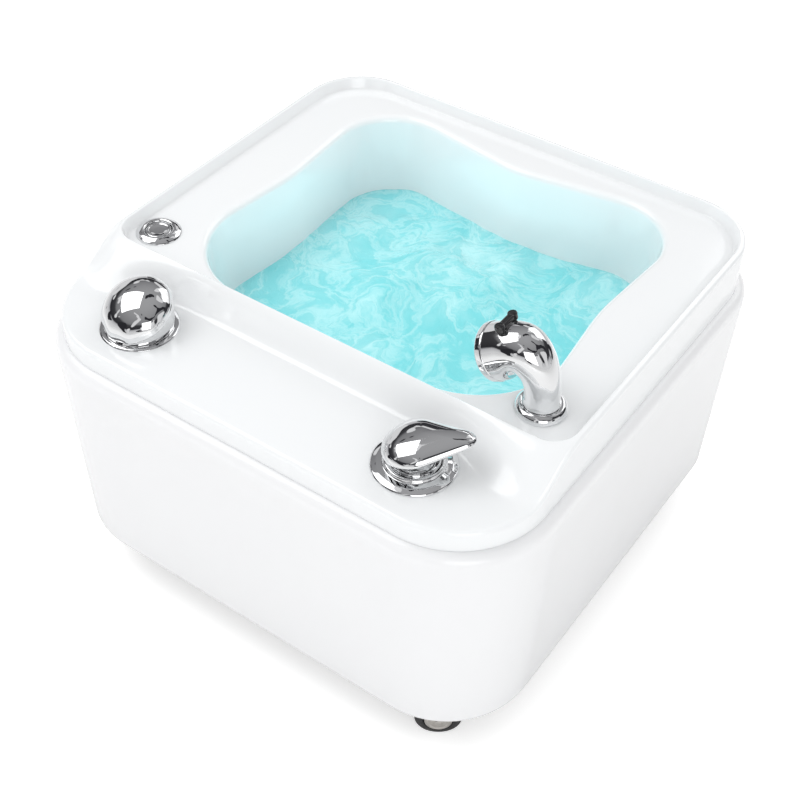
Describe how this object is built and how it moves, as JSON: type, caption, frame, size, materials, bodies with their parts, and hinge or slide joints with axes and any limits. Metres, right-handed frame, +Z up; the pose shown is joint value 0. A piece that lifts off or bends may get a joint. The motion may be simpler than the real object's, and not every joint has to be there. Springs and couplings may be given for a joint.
{
  "type": "foot spa basin",
  "caption": "Acrylic foot soaking tub with water jets in a moulded skirt on twin-wheel castors, with mixer lever, diverter knob, air button and hand spray.",
  "frame": {"origin": "on the floor under the middle of the tub, with all castors standing on it", "axes": "+Z up; +Y from the control deck at the front to the service plate at the back; +X to the right of a person facing the deck"},
  "size_m": [0.5816, 0.5766, 0.4462],
  "materials": {
    "acrylic_white": "polished white acrylic",
    "skirt_white": "gloss white moulding",
    "frame_paint": "satin black powder coat",
    "plate_steel": "brushed",
    "chrome": "mirror polished",
    "brass": "machined",
    "black_plastic": "moulded, satin",
    "black_rubber": "matt",
    "white_pipe": "extruded, satin",
    "motor_paint": "hammered enamel",
    "impeller_plastic": "moulded",
    "box_plastic": "fine moulded texture",
    "clear_lens": "clear, prismatic",
    "spring_steel": "drawn wire",
    "spray_grey": "satin with moulded nozzles",
    "braided_hose": "woven stainless braid",
    "air_tubing": "translucent vinyl",
    "lead_sheath": "smooth",
    "castor_hood": "moulded, worn",
    "castor_tread": "smooth tread",
    "castor_hub": "spun cap"
  },
  "bodies": {
    "basin": {"tub_shell": "acrylic_white", "skirt_shell": "skirt_white", "steel_frame": "frame_paint", "basin_pads": "black_rubber", "drain_body": "chrome", "drain_nut": "black_plastic", "waste_pipe": "white_pipe", "service_plate": "plate_steel", "supply_inlets": "brass", "mains_gland": "black_plastic", "jet_bodies": "chrome", "jet_nuts": "black_plastic", "wall_nuts": "black_plastic", "suction_fitting": "chrome", "light_housing": "chrome", "light_lens": "clear_lens", "pump_motor": "motor_paint", "pump_volute": "black_plastic", "pump_base": "black_rubber", "pressure_pipe": "white_pipe", "suction_pipe": "white_pipe", "control_box": "box_plastic", "control_box_lid": "box_plastic", "air_button_body": "black_plastic", "air_button_bezel": "chrome", "air_button_spring": "spring_steel", "spray_holder": "chrome", "mixer_valve": "chrome", "mixer_escutcheon": "chrome", "diverter_valve": "chrome", "diverter_escutcheon": "chrome", "deck_nuts": "brass", "tray_nuts": "black_plastic", "supply_hoses": "braided_hose", "mixed_hose": "braided_hose", "spray_hose": "braided_hose", "air_tube": "air_tubing", "wiring": "lead_sheath"},
    "mixer_turn_body": {"mixer_collar": "chrome"},
    "mixer_lever_body": {"mixer_lever": "chrome"},
    "diverter_body": {"diverter_knob": "chrome"},
    "air_button": {"air_button_plunger": "chrome"},
    "plug": {"drain_plug": "chrome"},
    "pump_rotor": {"pump_impeller": "impeller_plastic"},
    "spray_lift_body": {"spray_shank": "chrome"},
    "spray_head_body": {"spray_head": "chrome", "spray_face": "spray_grey"},
    "spray_selector_body": {"spray_selector": "black_plastic"},
    "castor_front_right": {"castor_housing_front_right": "castor_hood"},
    "castor_wheels_front_right_body": {"castor_wheels_front_right": "castor_tread", "castor_axle_front_right": "castor_hub"},
    "castor_back_right": {"castor_housing_back_right": "castor_hood"},
    "castor_wheels_back_right_body": {"castor_wheels_back_right": "castor_tread", "castor_axle_back_right": "castor_hub"},
    "castor_front_left": {"castor_housing_front_left": "castor_hood"},
    "castor_wheels_front_left_body": {"castor_wheels_front_left": "castor_tread", "castor_axle_front_left": "castor_hub"},
    "castor_back_left": {"castor_housing_back_left": "castor_hood"},
    "castor_wheels_back_left_body": {"castor_wheels_back_left": "castor_tread", "castor_axle_back_left": "castor_hub"}
  },
  "joints": [
    {"name": "castor_swivel_front_right", "type": "hinge", "parent": "basin", "child": "castor_front_right", "pos_m": [0.222, -0.224, 0.064], "axis": [0, 0, 1], "continuous": true},
    {"name": "castor_roll_front_right", "type": "hinge", "parent": "castor_front_right", "child": "castor_wheels_front_right_body", "pos_m": [0.21122, -0.23127, 0.025], "axis": [0.5592, -0.829, 0], "continuous": true},
    {"name": "castor_swivel_back_right", "type": "hinge", "parent": "basin", "child": "castor_back_right", "pos_m": [0.222, 0.224, 0.064], "axis": [0, 0, 1], "continuous": true},
    {"name": "castor_roll_back_right", "type": "hinge", "parent": "castor_back_right", "child": "castor_wheels_back_right_body", "pos_m": [0.21122, 0.21673, 0.025], "axis": [0.5592, -0.829, 0], "continuous": true},
    {"name": "castor_swivel_front_left", "type": "hinge", "parent": "basin", "child": "castor_front_left", "pos_m": [-0.222, -0.224, 0.064], "axis": [0, 0, 1], "continuous": true},
    {"name": "castor_roll_front_left", "type": "hinge", "parent": "castor_front_left", "child": "castor_wheels_front_left_body", "pos_m": [-0.21122, -0.21673, 0.025], "axis": [0.5592, -0.829, 0], "continuous": true},
    {"name": "castor_swivel_back_left", "type": "hinge", "parent": "basin", "child": "castor_back_left", "pos_m": [-0.222, 0.224, 0.064], "axis": [0, 0, 1], "continuous": true},
    {"name": "castor_roll_back_left", "type": "hinge", "parent": "castor_back_left", "child": "castor_wheels_back_left_body", "pos_m": [-0.21122, 0.23127, 0.025], "axis": [0.5592, -0.829, 0], "continuous": true},
    {"name": "mixer_turn", "type": "hinge", "parent": "basin", "child": "mixer_turn_body", "pos_m": [0.16, -0.214, 0.355], "axis": [0, 0, 1], "range_deg": [-60, 60]},
    {"name": "mixer_lift", "type": "hinge", "parent": "mixer_turn_body", "child": "mixer_lever_body", "pos_m": [0.16, -0.214, 0.367], "axis": [0.4384, -0.8988, 0], "range_deg": [0, 15]},
    {"name": "diverter_turn", "type": "hinge", "parent": "basin", "child": "diverter_body", "pos_m": [-0.172, -0.218, 0.35], "axis": [0, 0, 1], "range_deg": [-90, 90]},
    {"name": "air_button_press", "type": "slide", "parent": "basin", "child": "air_button", "axis": [0, 0, -1], "range_m": [0, 0.004], "stiffness_N_per_m": 1000, "springref_m": -0.003, "deforming": ["air_button_spring"]},
    {"name": "plug_lift", "type": "slide", "parent": "basin", "child": "plug", "axis": [0, 0, 1], "range_m": [0, 0.01]},
    {"name": "pump_spin", "type": "hinge", "parent": "basin", "child": "pump_rotor", "pos_m": [0.02, -0.196, 0.125], "axis": [1, 0, 0], "continuous": true},
    {"name": "spray_lift", "type": "slide", "parent": "basin", "child": "spray_lift_body", "axis": [0, 0, 1], "range_m": [0, 0.045]},
    {"name": "spray_turn", "type": "hinge", "parent": "spray_lift_body", "child": "spray_head_body", "pos_m": [0.224, -0.102, 0.359], "axis": [0, 0, 1], "range_deg": [-90, 90]},
    {"name": "selector_turn", "type": "hinge", "parent": "spray_head_body", "child": "spray_selector_body", "pos_m": [0.1805, -0.102, 0.4372], "axis": [-0.2588, 0, 0.9659], "range_deg": [-25, 25]}
  ]
}
